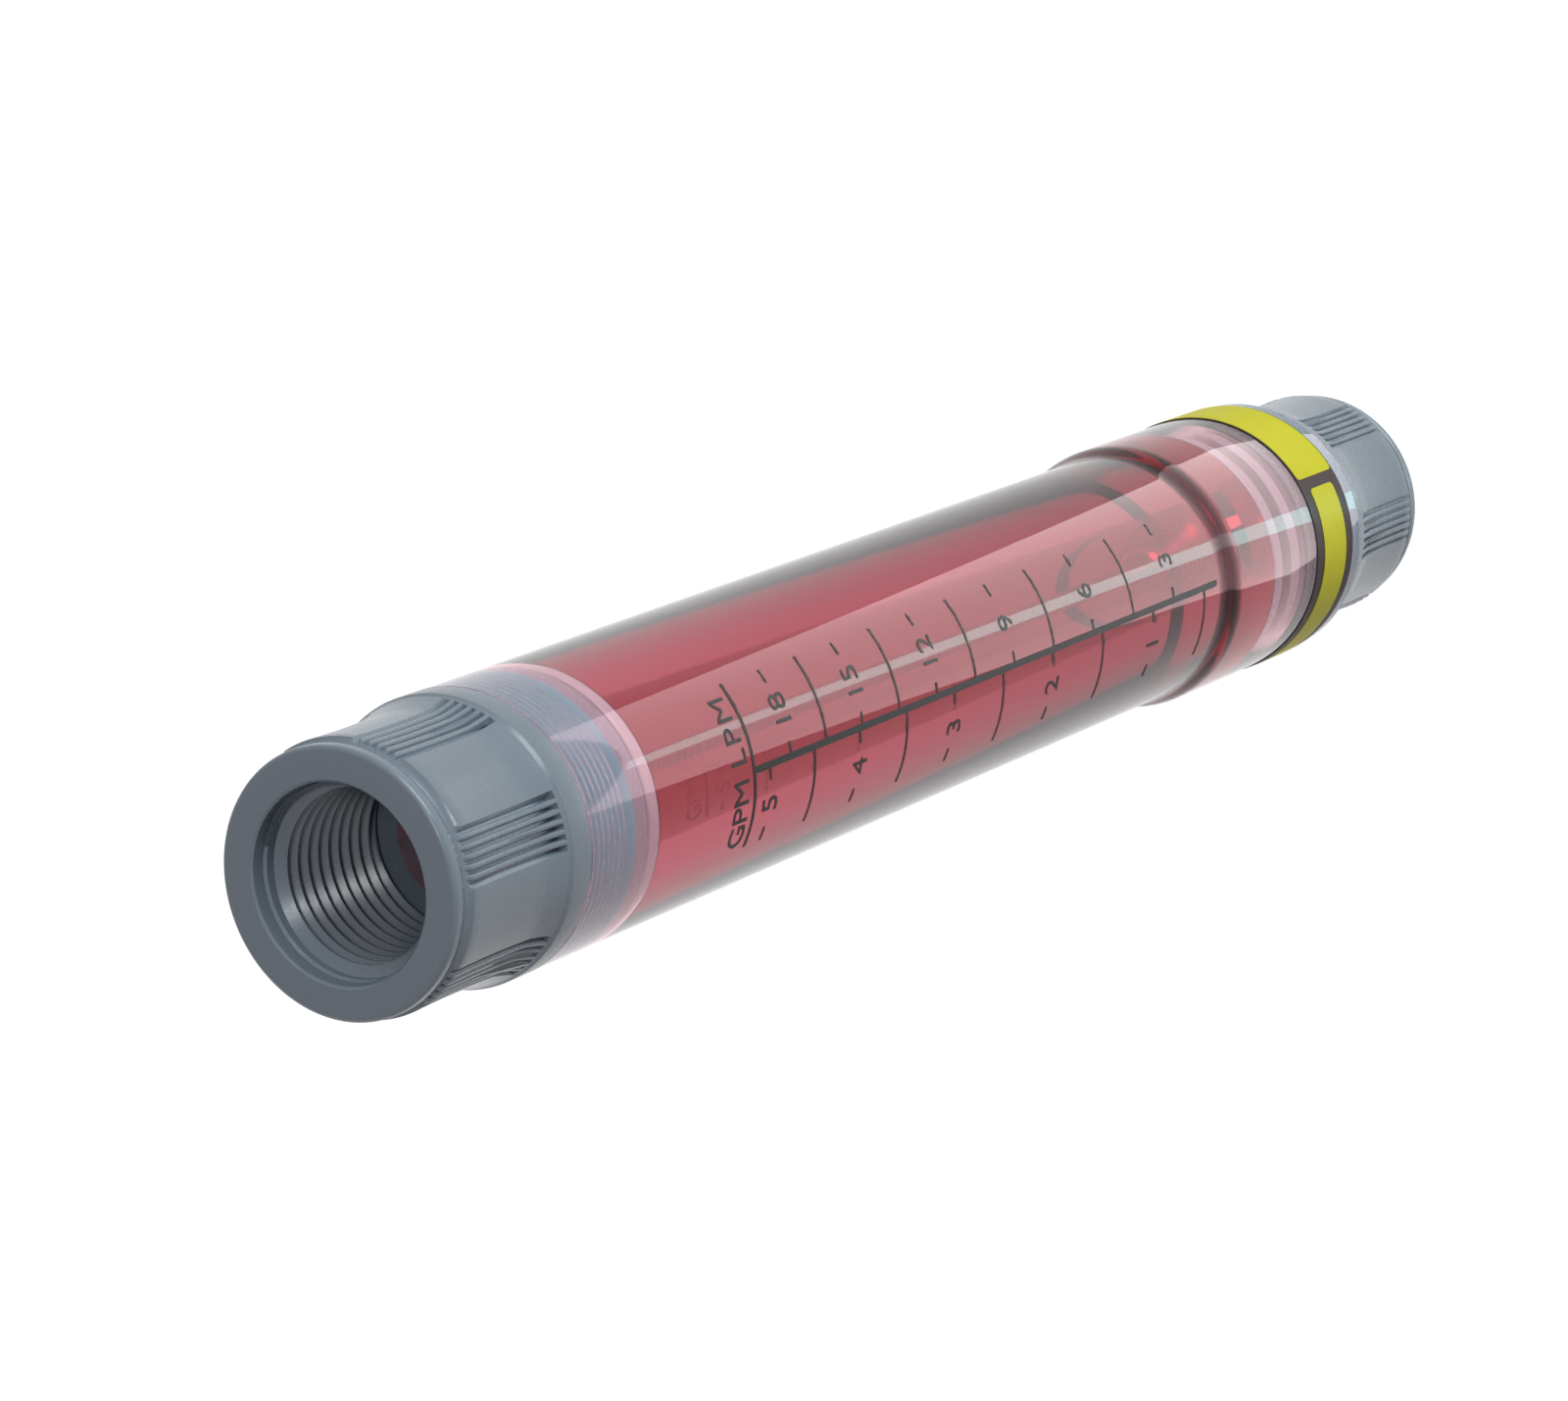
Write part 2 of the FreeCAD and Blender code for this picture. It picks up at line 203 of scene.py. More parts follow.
def partsOf(tree, vector):
    return addNode(tree, "ShaderNodeSeparateXYZ", {"Vector": vector}).outputs


def radiusOf(point):
    return calc("SQRT", plus(times(point["X"], point["X"]), times(point["Y"], point["Y"])))


def polar(tree, radius, angle, height):
    # the place at this radius and angle round Z
    return vectorOf(tree, times(radius, calc("COSINE", angle)), times(radius, calc("SINE", angle)), height)


def hereIn(tree):
    return addNode(tree, "GeometryNodeInputPosition").outputs[0]


def moved(tree, geometry, place, chosen=True):
    feeds = {"Geometry": geometry, "Selection": chosen, "Position": place}
    return addNode(tree, "GeometryNodeSetPosition", feeds).outputs[0]


def pointCount(tree, geometry):
    return addNode(tree, "GeometryNodeAttributeDomainSize", {"Geometry": geometry}).outputs["Point Count"]


def gridOf(tree, countX, countY):
    return addNode(tree, "GeometryNodeMeshGrid", {"Vertices X": countX, "Vertices Y": countY}).outputs["Mesh"]


def rowAndPlace(tree, size):
    # the row that a point lies in, and its place in that row
    index = addNode(tree, "GeometryNodeInputIndex").outputs[0]
    row = calc("FLOOR", over(plus(index, 0.5), size))
    return row, minus(index, times(row, size))


def placeOnOutline(tree, outline, index):
    # where one point of the outline lies
    feeds = {"Geometry": outline, "Value": hereIn(tree), "Index": index}
    sample = addNode(tree, "GeometryNodeSampleIndex", feeds, data_type="FLOAT_VECTOR")
    return partsOf(tree, sample.outputs["Value"])


def finishTree(tree, geometry, material, output):
    real = addNode(tree, "GeometryNodeRealizeInstances", {"Geometry": geometry}).outputs[0]
    painted = addNode(tree, "GeometryNodeSetMaterial", {"Geometry": real, "Material": material}).outputs[0]
    feed(output, {"Geometry": painted})


def baked(name, source, tree, values, slotName):
    # runs the tree on the source object and keeps the result as a plain mesh in a new object
    modifier = source.modifiers.new(tree.name, "NODES")
    modifier.node_group = tree
    inputs = [item for item in tree.interface.items_tree if item.in_out == "INPUT"]
    sockets = {item.name: item.identifier for item in inputs}
    for key, value in {**values, "Material": finishes[slotName]}.items():
        modifier[sockets[key]] = value
    source.update_tag()
    evaluated = source.evaluated_get(bpy.context.evaluated_depsgraph_get())
    mesh = bpy.data.meshes.new_from_object(evaluated)
    mesh.name = name
    made = linked(name, mesh)
    bpy.data.objects.remove(source)
    made["ridesOn"] = "meter_body"
    made["finish"] = slotName
    return made


def makeTurningTree():
    # sweeps the outline round Z: one turn without pitch is lathe work, more turns with pitch are a thread
    tree, given, result = newTree("turning", ["Steps"], ["Turns", "Pitch", "Fade Turns", "Wall Radius"])
    count = pointCount(tree, given["Geometry"])
    grid = gridOf(tree, plus(given["Steps"], 1), count)
    along, place = rowAndPlace(tree, count)
    point = placeOnOutline(tree, given["Geometry"], place)
    share = over(along, given["Steps"])
    turned = times(share, given["Turns"])
    angle = times(turned, math.tau)
    # a thread sinks into its wall over its first and last turns
    safeFade = calc("MAXIMUM", given["Fade Turns"], 0.0001)     # never zero
    fromStart = over(turned, safeFade)
    fromEnd = over(minus(given["Turns"], turned), safeFade)
    fade = calc("MINIMUM", calc("MINIMUM", fromStart, fromEnd), 1.0)
    fading = calc("GREATER_THAN", given["Fade Turns"], 0.0)
    keep = plus(times(fading, fade), minus(1.0, fading))
    lift = minus(point["X"], given["Wall Radius"])
    radius = plus(given["Wall Radius"], times(lift, keep))
    height = plus(point["Z"], times(turned, given["Pitch"]))
    swept = polar(tree, radius, angle, height)
    finishTree(tree, moved(tree, grid, swept), given["Material"], result)
    return tree


pocketReach = 0.5 * mm    # how far under a pocket's floor a point still counts as the grip's skin


def makePocketTree():
    # presses the grip channels' pockets into a turned fitting, at even turns round it
    sizes = ["Half Width", "Edge", "Floor Radius", "Low", "High", "Turn"]
    tree, given, result = newTree("gripPockets", ["Groups"], sizes)
    point = partsOf(tree, hereIn(tree))
    angle = minus(calc("ARCTAN2", point["Y"], point["X"]), given["Turn"])
    span = over(math.tau, given["Groups"])
    half = times(span, 0.5)
    near = calc("ABSOLUTE", calc("WRAP", angle, half, times(half, -1.0)))
    inside = over(minus(given["Half Width"], near), given["Edge"])
    inside = calc("MINIMUM", calc("MAXIMUM", inside, 0.0), 1.0)
    radius = radiusOf(point)
    drop = calc("MAXIMUM", minus(radius, given["Floor Radius"]), 0.0)
    target = minus(radius, times(drop, inside))
    scale = over(target, calc("MAXIMUM", radius, 0.001 * mm))
    place = vectorOf(tree, times(point["X"], scale), times(point["Y"], scale), point["Z"])
    aboveLow = calc("GREATER_THAN", point["Z"], given["Low"])
    belowHigh = calc("LESS_THAN", point["Z"], given["High"])
    outside = calc("GREATER_THAN", radius, minus(given["Floor Radius"], pocketReach))
    chosen = times(times(aboveLow, belowHigh), outside)
    finishTree(tree, moved(tree, given["Geometry"], place, chosen), given["Material"], result)
    return tree


ribSection = {"pointsAcross": 9, "crownPower": 4.0}      # a higher power gives a flatter crown


def makeRibTree():
    # the rounded ribs that stand in the pockets: one rib along the grip's outline, then copies in groups
    sizes = ["Rib Pitch", "Width", "Depth", "Turn"]
    tree, given, result = newTree("gripRibs", ["Groups", "Ribs"], sizes)
    across = ribSection["pointsAcross"]
    grid = gridOf(tree, pointCount(tree, given["Geometry"]), across)
    along, place = rowAndPlace(tree, across)
    point = placeOnOutline(tree, given["Geometry"], along)
    # across the rib: a rounded crown between two sides that go down below the pocket's floor
    u = minus(over(place, (across - 1) / 2), 1.0)
    bulge = calc("POWER", calc("ABSOLUTE", u), ribSection["crownPower"])
    crown = calc("SQRT", calc("MAXIMUM", minus(1.0, bulge), 0.0))
    side = times(times(u, given["Width"]), 0.5)
    sink = times(minus(1.0, crown), given["Depth"])
    rib = moved(tree, grid, vectorOf(tree, minus(point["X"], sink), side, point["Z"]))
    total = times(given["Groups"], given["Ribs"])
    line = addNode(tree, "GeometryNodeMeshLine", {"Count": total, "Offset": (0, 0, 0)}).outputs["Mesh"]
    group, inGroup = rowAndPlace(tree, given["Ribs"])
    middle = times(minus(given["Ribs"], 1.0), 0.5)
    turn = times(minus(inGroup, middle), given["Rib Pitch"])
    groupTurn = times(group, over(math.tau, given["Groups"]))
    turn = plus(plus(turn, groupTurn), given["Turn"])
    feeds = {"Points": line, "Instance": rib, "Rotation": vectorOf(tree, 0.0, 0.0, turn)}
    copies = addNode(tree, "GeometryNodeInstanceOnPoints", feeds).outputs[0]
    finishTree(tree, copies, given["Material"], result)
    return tree


def wrapPosition(tree, flat, radius, azimuth):
    # a flat point (arc length, depth, height) laid round the tube
    angle = plus(over(flat["X"], radius), azimuth)
    return polar(tree, minus(radius, flat["Y"]), angle, flat["Z"])


def makeWrapTree():
    # bends a flat piece round the tube: X becomes the arc, -Y the outward side
    tree, given, result = newTree("wrapping", [], ["Radius", "Azimuth"])
    place = wrapPosition(tree, partsOf(tree, hereIn(tree)), given["Radius"], given["Azimuth"])
    finishTree(tree, moved(tree, given["Geometry"], place), given["Material"], result)
    return tree


def makeMarkTree():
    # one side of the scale: long arcs at the half steps, two short ends at the numbered steps
    sizes = ["Top Flow", "Flow Step", "Full Flow", "Closing", "Zero Height", "Span", "Side", "Arc", "Short",
             "Width", "Thickness", "Radius", "Azimuth"]
    tree, given, result = newTree("scaleMarks", ["Count"], sizes)
    feeds = {"Count": given["Count"], "Offset": (0, 0, 0)}
    line = addNode(tree, "GeometryNodeMeshLine", feeds).outputs["Mesh"]
    index = addNode(tree, "GeometryNodeInputIndex").outputs[0]
    flow = minus(given["Top Flow"], times(index, given["Flow Step"]))

    def eased(value):
        left = minus(1.0, times(value, given["Closing"]))
        return times(value, left)

    share = over(eased(flow), eased(given["Full Flow"]))
    height = plus(given["Zero Height"], times(share, given["Span"]))
    stations = moved(tree, line, vectorOf(tree, 0.0, 0.0, height))
    odd = calc("MODULO", index, 2.0)
    even = minus(1.0, odd)

    def bars(length, middle, chosen, pieces):
        size = vectorOf(tree, length, given["Thickness"], given["Width"])
        cube = addNode(tree, "GeometryNodeMeshCube", {"Size": size, "Vertices X": pieces}).outputs["Mesh"]
        shift = vectorOf(tree, times(middle, given["Side"]), 0.0, 0.0)
        put = addNode(tree, "GeometryNodeTransform", {"Geometry": cube, "Translation": shift}).outputs[0]
        feeds = {"Points": stations, "Selection": chosen, "Instance": put}
        return addNode(tree, "GeometryNodeInstanceOnPoints", feeds).outputs[0]

    halfArc = times(given["Arc"], 0.5)
    halfShort = times(given["Short"], 0.5)
    farShort = minus(given["Arc"], halfShort)
    longPieces, shortPieces = 24, 4      # how finely a bar is cut, so that it bends round the tube
    joined = addNode(tree, "GeometryNodeJoinGeometry")
    feed(joined, {0: bars(given["Arc"], halfArc, odd, longPieces)})
    feed(joined, {0: bars(given["Short"], halfShort, even, shortPieces)})
    feed(joined, {0: bars(given["Short"], farShort, even, shortPieces)})
    real = addNode(tree, "GeometryNodeRealizeInstances", {"Geometry": joined.outputs[0]}).outputs[0]
    place = wrapPosition(tree, partsOf(tree, hereIn(tree)), given["Radius"], given["Azimuth"])
    finishTree(tree, moved(tree, real, place), given["Material"], result)
    return tree


turningTree = makeTurningTree()
pocketTree = makePocketTree()
ribTree = makeRibTree()
wrapTree = makeWrapTree()
markTree = makeMarkTree()
print("node trees are ready")


def newMaterial(name):
    made = bpy.data.materials.new(name)
    made.use_nodes = True
    tree = made.node_tree
    shader = tree.nodes["Principled BSDF"]
    coords = addNode(tree, "ShaderNodeTexCoord").outputs["Object"]
    return made, tree, shader, coords


def noiseOf(tree, coords, scale, detail=4.0):
    feeds = {"Vector": coords, "Scale": scale, "Detail": detail, "Roughness": 0.55}
    return addNode(tree, "ShaderNodeTexNoise", feeds).outputs["Fac"]


def mixedColour(tree, factor, low, high):
    # each colour is four numbers or another node's output
    feeds = {"Factor": factor, "A": low, "B": high}
    return addNode(tree, "ShaderNodeMix", feeds, data_type="RGBA").outputs["Result"]


def surfaceMix(tree, factor, first, second, output):
    # the output's surface goes from the first shader to the second as the factor goes from 0 to 1
    feeds = {0: factor, 1: first.outputs[0], 2: second.outputs[0]}
    feed(output, {"Surface": addNode(tree, "ShaderNodeMixShader", feeds).outputs[0]})


def bumped(tree, shader, height, strength, distance):
    feeds = {"Height": height, "Strength": strength, "Distance": distance}
    feed(shader, {"Normal": addNode(tree, "ShaderNodeBump", feeds).outputs["Normal"]})


def ranged(tree, value, low, high):
    feeds = {"Value": value, "To Min": low, "To Max": high}
    return addNode(tree, "ShaderNodeMapRange", feeds).outputs["Result"]


def finish(name, look):
    # colour clouds, uneven gloss and a fine bump; each noise is (scale, detail)
    made, tree, shader, coords = newMaterial(name)
    clouds = mixedColour(tree, noiseOf(tree, coords, *look["clouds"]), look["dark"], look["light"])
    gloss = ranged(tree, noiseOf(tree, coords, *look["grain"]), *look["roughness"])
    feed(shader, {"Base Color": clouds, "Roughness": gloss, **look.get("fixed", {})})
    if "relief" in look:
        bumped(tree, shader, noiseOf(tree, coords, *look["relief"]), look["strength"], look["height"])
    return made


softGlow = {"Subsurface Radius": (0.002, 0.002, 0.002), "Subsurface Scale": 0.5}

greyPlasticLook = {
    "dark": (0.205, 0.252, 0.300, 1), "light": (0.230, 0.264, 0.308, 1), "clouds": (90.0, 3.0),
    "grain": (2600.0, 2.0), "roughness": (0.20, 0.33), "relief": (350.0, 2.0), "strength": 0.04,
    "height": 0.04 * mm, "fixed": {"IOR": 1.52}}
rubberLook = {
    "dark": (0.010, 0.010, 0.011, 1), "light": (0.030, 0.029, 0.028, 1), "clouds": (400.0, 4.0),
    "grain": (700.0, 4.0), "roughness": (0.35, 0.60), "relief": (1500.0, 4.0), "strength": 0.12,
    "height": 0.03 * mm}
siliconeLook = {
    "dark": (0.34, 0.37, 0.40, 1), "light": (0.42, 0.45, 0.48, 1), "clouds": (300.0, 4.0),
    "grain": (800.0, 4.0), "roughness": (0.30, 0.48), "relief": (1200.0, 4.0), "strength": 0.10,
    "height": 0.03 * mm, "fixed": {"Subsurface Weight": 0.3, **softGlow}}
polymerLook = {
    "dark": (0.66, 0.66, 0.62, 1), "light": (0.76, 0.76, 0.73, 1), "clouds": (150.0, 4.0),
    "grain": (500.0, 4.0), "roughness": (0.32, 0.50), "relief": (1200.0, 4.0), "strength": 0.10,
    "height": 0.03 * mm, "fixed": {"Subsurface Weight": 0.15, **softGlow}}
inkLook = {
    "dark": (0.008, 0.008, 0.009, 1), "light": (0.030, 0.028, 0.030, 1), "clouds": (1400.0, 4.0),
    "grain": (2200.0, 4.0), "roughness": (0.35, 0.62), "fixed": {"Specular IOR Level": 0.15}}
filmLook = {
    "dark": (0.018, 0.008, 0.008, 1), "light": (0.040, 0.022, 0.020, 1), "clouds": (220.0, 5.0),
    "grain": (900.0, 4.0), "roughness": (0.34, 0.55), "relief": (500.0, 3.0), "strength": 0.18,
    "height": 0.05 * mm, "fixed": {"Specular IOR Level": 0.06}}
yellowLook = {**filmLook, "dark": (0.72, 0.64, 0.004, 1), "light": (0.82, 0.74, 0.008, 1)}

acrylic = {
    "clear": (0.96, 0.90, 0.91, 1), "bore": (0.60, 0.16, 0.20, 1), "boreHazy": (0.55, 0.12, 0.16, 1),
    "frost": (0.24, 0.66, 0.74, 1), "frostShare": 0.45, "frostRoughness": 0.30, "haze": (160.0, 3.0),
    "polish": (420.0, 3.0), "roughness": (0.0, 0.045), "waves": (90.0, 1.0), "waveStrength": 0.02,
    "waveHeight": 0.1 * mm, "depth": (0.74, 0.10, 0.235, 1), "density": 172.0, "ior": 1.49,
    "glint": (0.60, 0.25, 0.30, 1), "shadow": (1.0, 0.97, 0.97, 1), "boreLimit": 10.5 * mm,
    "threadLength": 12.05 * mm, "threadPastNose": 3.0 * mm, "wallCover": 1.3 * mm}


def clearAcrylicMaterial():
    a = acrylic
    made, tree, shader, coords = newMaterial("roseClearAcrylic")
    point = partsOf(tree, coords)
    radius = radiusOf(point)
    # the rose tint lies on the bore, and the cut threads at both ends are frosted
    onBore = calc("LESS_THAN", radius, a["boreLimit"])
    lowEnd = calc("LESS_THAN", point["Z"], tubeLow + a["threadLength"])
    lowWall = calc("LESS_THAN", radius, thickRadius - a["wallCover"])
    highEnd = calc("GREATER_THAN", point["Z"], outletNose + a["threadPastNose"])
    highWall = calc("LESS_THAN", radius, tubeRadius - a["wallCover"])
    onThread = calc("MAXIMUM", times(lowEnd, lowWall), times(highEnd, highWall))
    boreTint = mixedColour(tree, noiseOf(tree, coords, *a["haze"]), a["bore"], a["boreHazy"])
    clearTint = mixedColour(tree, onThread, a["clear"], a["frost"])
    polish = ranged(tree, noiseOf(tree, coords, *a["polish"]), *a["roughness"])
    rough = plus(polish, times(onThread, a["frostRoughness"]))
    feed(shader, {
        "Base Color": mixedColour(tree, onBore, clearTint, boreTint), "Roughness": rough, "IOR": a["ior"],
        "Transmission Weight": minus(1.0, times(onThread, a["frostShare"])), "Specular Tint": a["glint"]})
    bumped(tree, shader, noiseOf(tree, coords, *a["waves"]), a["waveStrength"], a["waveHeight"])
    output = tree.nodes["Material Output"]
    volume = addNode(tree, "ShaderNodeVolumeAbsorption", {"Color": a["depth"], "Density": a["density"]})
    feed(output, {"Volume": volume.outputs[0]})
    # lamps shine through, so that the float and the rod inside are lit
    letThrough = addNode(tree, "ShaderNodeBsdfTransparent", {"Color": a["shadow"]})
    inShadow = addNode(tree, "ShaderNodeLightPath").outputs["Is Shadow Ray"]
    surfaceMix(tree, inShadow, shader, letThrough, output)
    return made


steel = {"dark": (0.66, 0.67, 0.67, 1), "light": (0.74, 0.75, 0.75, 1), "clouds": 200.0,
         "marks": (60.0, 60.0, 9000.0), "roughness": (0.20, 0.34), "strength": 0.10, "height": 0.01 * mm}


def turnedSteelMaterial():
    made, tree, shader, coords = newMaterial("turnedStainless")
    clouds = mixedColour(tree, noiseOf(tree, coords, steel["clouds"]), steel["dark"], steel["light"])
    # fine turning marks run round the piece, so the pattern is stretched across and tight along Z
    stretch = addNode(tree, "ShaderNodeMapping", {"Vector": coords, "Scale": steel["marks"]}).outputs[0]
    lines = noiseOf(tree, stretch, 1.0, 3.0)
    gloss = ranged(tree, lines, *steel["roughness"])
    feed(shader, {"Metallic": 1.0, "Base Color": clouds, "Roughness": gloss})
    bumped(tree, shader, lines, steel["strength"], steel["height"])
    return made


finishes = {
    "grey_plastic": finish("greyMouldedPlastic", greyPlasticLook), "rose_acrylic": clearAcrylicMaterial(),
    "stainless": turnedSteelMaterial(), "seal_rubber": finish("sealRubber", rubberLook),
    "pale_silicone": finish("paleSilicone", siliconeLook),
    "white_polymer": finish("whitePolymer", polymerLook),
    "scale_ink": finish("scaleInk", inkLook), "label_black": finish("labelDarkFilm", filmLook),
    "label_yellow": finish("labelYellowPrint", yellowLook),
}
print("materials are ready")


def turnedPiece(name, corners, slotName, steps, sharpDegrees=35):
    source = outlineObject(name + "Outline", corners)
    values = {"Steps": steps, "Turns": 1.0}
    return finishMesh(baked(name, source, turningTree, values, slotName), sharpDegrees)


# both end fittings; heights are taken from the end face, and turns and the grip's pitch are in degrees
fitting = {
    "portMajor": 10.48 * mm, "portMinor": 9.32 * mm, "portDepth": 21.5 * mm, "flowBore": 7.5 * mm,
    "mouth": 10.75 * mm, "mouthDepth": 2.0 * mm, "mouthEdge": 0.25 * mm, "mouthTaper": 0.3 * mm,
    "threadPitch": 25.4 / 14 * mm, "threadFade": 0.35, "threadSteps": 96,
    "rimStep": 0.4 * mm, "rimLand": 0.8 * mm, "rimRound": 0.6 * mm,
    "neckDepth": 0.8 * mm, "neckWidth": 1.5 * mm, "neckRound": 0.12 * mm, "neckBow": 0.22 * mm,
    "gripStep": 1.0 * mm, "gripHollow": 0.12 * mm, "gripLength": 12.9 * mm, "frontRound": 0.25 * mm,
    "shoulderIn": 0.05 * mm, "shoulderBelow": 0.08 * mm,
    "collarLength": 3.5 * mm, "collarRound": 0.3 * mm, "collarBend": (0.6, 0.15),
    "groups": 6, "channels": 6, "channelPitch": 4.1, "channelDepth": 0.55 * mm,
    "channelEndWall": 0.5 * mm, "channelEndSlope": 0.06 * mm, "channelEndDip": 0.005 * mm,
    "pocketSide": 0.35 * mm, "pocketMargin": 0.25, "pocketEdge": 0.7, "pocketPastNeck": 0.02 * mm,
    "ribWidth": 0.80 * mm, "ribRoot": 0.25 * mm, "ribPastChannel": 0.2 * mm,
    "outletTurn": -20.5, "inletTurn": -38.0, "steps": 360,
}
fitting["grip"] = collarRadius - fitting["gripStep"]
fitting["rim"] = fitting["grip"] - fitting["rimStep"]
fitting["neck"] = fitting["grip"] - fitting["neckDepth"]
fitting["neckLow"] = fitting["rimRound"] + fitting["rimLand"]
fitting["gripLow"] = fitting["neckLow"] + fitting["neckWidth"]
fitting["gripHigh"] = fitting["gripLow"] + fitting["gripLength"]
fitting["collarLow"] = fittingLength - fitting["collarLength"]
fitting["collarStart"] = collarRadius - fitting["collarRound"] * fitting["collarBend"][0]
fitting["collarMiddle"] = collarRadius - fitting["collarRound"] * fitting["collarBend"][1]
fitting["channelHigh"] = fitting["collarLow"] - fitting["channelEndWall"]


def gripLine():
    # the grip's outline from the neck to the collar, as (radius, distance from the end face)
    f = fitting
    start = (f["neck"], f["neckLow"] + f["neckWidth"] / 2)
    shoulder = (f["grip"] - f["shoulderIn"], f["gripLow"] - f["shoulderBelow"])
    neckMiddle = ((start[0] + shoulder[0]) / 2 + f["shoulderIn"], shoulder[1] - f["neckBow"])
    front = (f["grip"], f["gripLow"] + f["frontRound"])
    middle = (f["grip"] - f["gripHollow"], (f["gripLow"] + f["gripHigh"]) / 2)
    back = (f["grip"], f["gripHigh"])
    riseMiddle = (f["grip"] + f["gripStep"] / 3, (f["gripHigh"] + f["collarLow"]) / 2)
    top = (f["collarStart"], f["collarLow"])
    line = [start]
    line += arcThrough(start, neckMiddle, shoulder, 5)
    line += straight(shoulder, front, 2)
    line += arcThrough(front, middle, back, 10)
    line += arcThrough(back, riseMiddle, top, 10)
    return line


def fittingOutline(spigotLine):
    # the whole fitting's outline, as (radius, distance from the end face)
    f = fitting
    face = f["rim"] - f["rimRound"]
    corner = f["rimRound"] * (1 - math.sqrt(0.5))
    line = [(f["mouth"] + f["mouthEdge"], 0), (face, 0)]
    line += arcThrough((face, 0), (f["rim"] - corner, corner), (f["rim"], f["rimRound"]), 6)
    line += [(f["rim"], f["neckLow"] - f["neckRound"])]
    neckIn = (f["neck"] + f["neckRound"], f["neckLow"] + f["shoulderBelow"])
    line += straight((f["rim"], f["neckLow"]), neckIn, 2)
    # the channels' end needs two close rows of points, one inside the pockets and one past them
    end, slope = f["channelHigh"], f["channelEndSlope"]
    before = [point for point in gripLine() if point[1] < end]
    after = [point for point in gripLine() if point[1] > end]
    (lowRadius, low), (highRadius, high) = before[-1], after[0]
    endRadius = lowRadius + (highRadius - lowRadius) * (end - low) / (high - low)
    line += before + [(endRadius - f["channelEndDip"], end - slope), (endRadius, end + slope)]
    line += [point for point in after if point[1] > end + slope]
    bend = f["collarRound"]
    line += arcThrough((f["collarStart"], f["collarLow"]),
                       (f["collarMiddle"], f["collarLow"] + bend / 2),
                       (collarRadius, f["collarLow"] + bend), 3)
    line += [(collarRadius, fittingLength)]
    line += spigotLine
    line += [(f["flowBore"], f["portDepth"]), (f["portMajor"], f["portDepth"]),
             (f["portMajor"], f["mouthDepth"] + f["mouthTaper"]), (f["mouth"], f["mouthDepth"]),
             (f["mouth"], f["mouthEdge"])]
    return line


toothShape = ((1, 0.10), (0, 0.45), (0, 0.60), (1, 0.95))     # (share of the depth, share of the pitch)


def threadTeeth(radius, depth, low, high, pitch):
    # ring teeth along a wall, from low to high: the crest is at the radius and the root is depth away
    count = max(1, round(abs(high - low) / pitch))
    step = (high - low) / count
    return [(radius - depth * down, low + step * (i + along))
            for i in range(count) for down, along in toothShape]


# the spigots that go into the tube; sides are taken from the tube's outside
spigot = {
    "side": 2.05 * mm, "sealSide": 2.25 * mm, "grooveSide": 4.25 * mm, "groove": 2.6 * mm,
    "edge": 0.3 * mm, "seatGap": 0.05 * mm, "seatPastHub": 1.0 * mm,
    "inletStart": 1.0 * mm, "inletThread": 11.95 * mm, "inletRunOut": 0.5 * mm,
    "inletTooth": 0.5 * mm, "inletPitch": 1.25 * mm,
    "outletStart": 0.4 * mm, "outletThread": 8.6 * mm, "outletTooth": 0.22 * mm, "outletPitch": 1.0 * mm,
    "noseStep": 0.1 * mm, "noseEdge": 0.4 * mm,
}


def middleHeight(box):
    return (box[0].z + box[1].z) / 2


def inletSpigot():
    # the long spigot: its thread, then two seal grooves and the seat of the lower rod holder
    s = spigot
    wall = thickRadius - s["side"]
    seal = thickRadius - s["sealSide"]
    floor = thickRadius - s["grooveSide"]
    threadHigh = tubeLow + s["inletThread"]
    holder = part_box("lower_rod_holder")
    seat = holder[1].x + s["seatGap"]
    seatLow = holder[0].z + s["seatPastHub"]
    line = [(wall, tubeLow)]
    line += threadTeeth(wall, s["inletTooth"], tubeLow + s["inletStart"], threadHigh - s["inletRunOut"],
                        s["inletPitch"])
    line += [(seal, threadHigh)]
    for ring in (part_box("inlet_o_ring_lower"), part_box("inlet_o_ring_upper")):
        low = middleHeight(ring) - s["groove"] / 2
        high = middleHeight(ring) + s["groove"] / 2
        line += [(seal, low), (floor, low), (floor, high), (seal, high)]
    line += [(seal, inletNose - s["edge"]), (seal - s["edge"], inletNose), (seat, inletNose),
             (seat, seatLow), (fitting["flowBore"], seatLow)]
    return line


def outletSpigot():
    # the short spigot: its thread down to the nose
    s = spigot
    wall = tubeRadius - s["side"]
    nose = fittingLength + tubeHigh - outletNose
    noseWall = wall - s["noseStep"]
    threadEnd = fittingLength + s["outletThread"]
    line = [(wall, fittingLength)]
    line += threadTeeth(wall, s["outletTooth"], fittingLength + s["outletStart"], threadEnd, s["outletPitch"])
    line += [(noseWall, threadEnd + s["edge"]), (noseWall, nose - s["noseEdge"]),
             (noseWall - s["noseEdge"], nose), (fitting["flowBore"], nose)]
    return line


def gripRibs(name, place, turn):
    # the ribs that stand between the grip's channels
    f = fitting
    line = [(r, place(u)) for r, u in gripLine() if u < f["channelHigh"] + f["ribPastChannel"]]
    ribs = baked(name + "Ribs", outlineObject(name + "RibLine", line, False), ribTree, {
        "Groups": f["groups"], "Ribs": f["channels"] - 1, "Rib Pitch": math.radians(f["channelPitch"]),
        "Width": f["ribWidth"], "Depth": f["channelDepth"] + f["ribRoot"], "Turn": turn}, "grey_plastic")
    return finishMesh(ribs, sharpDegrees=60, fill=True)


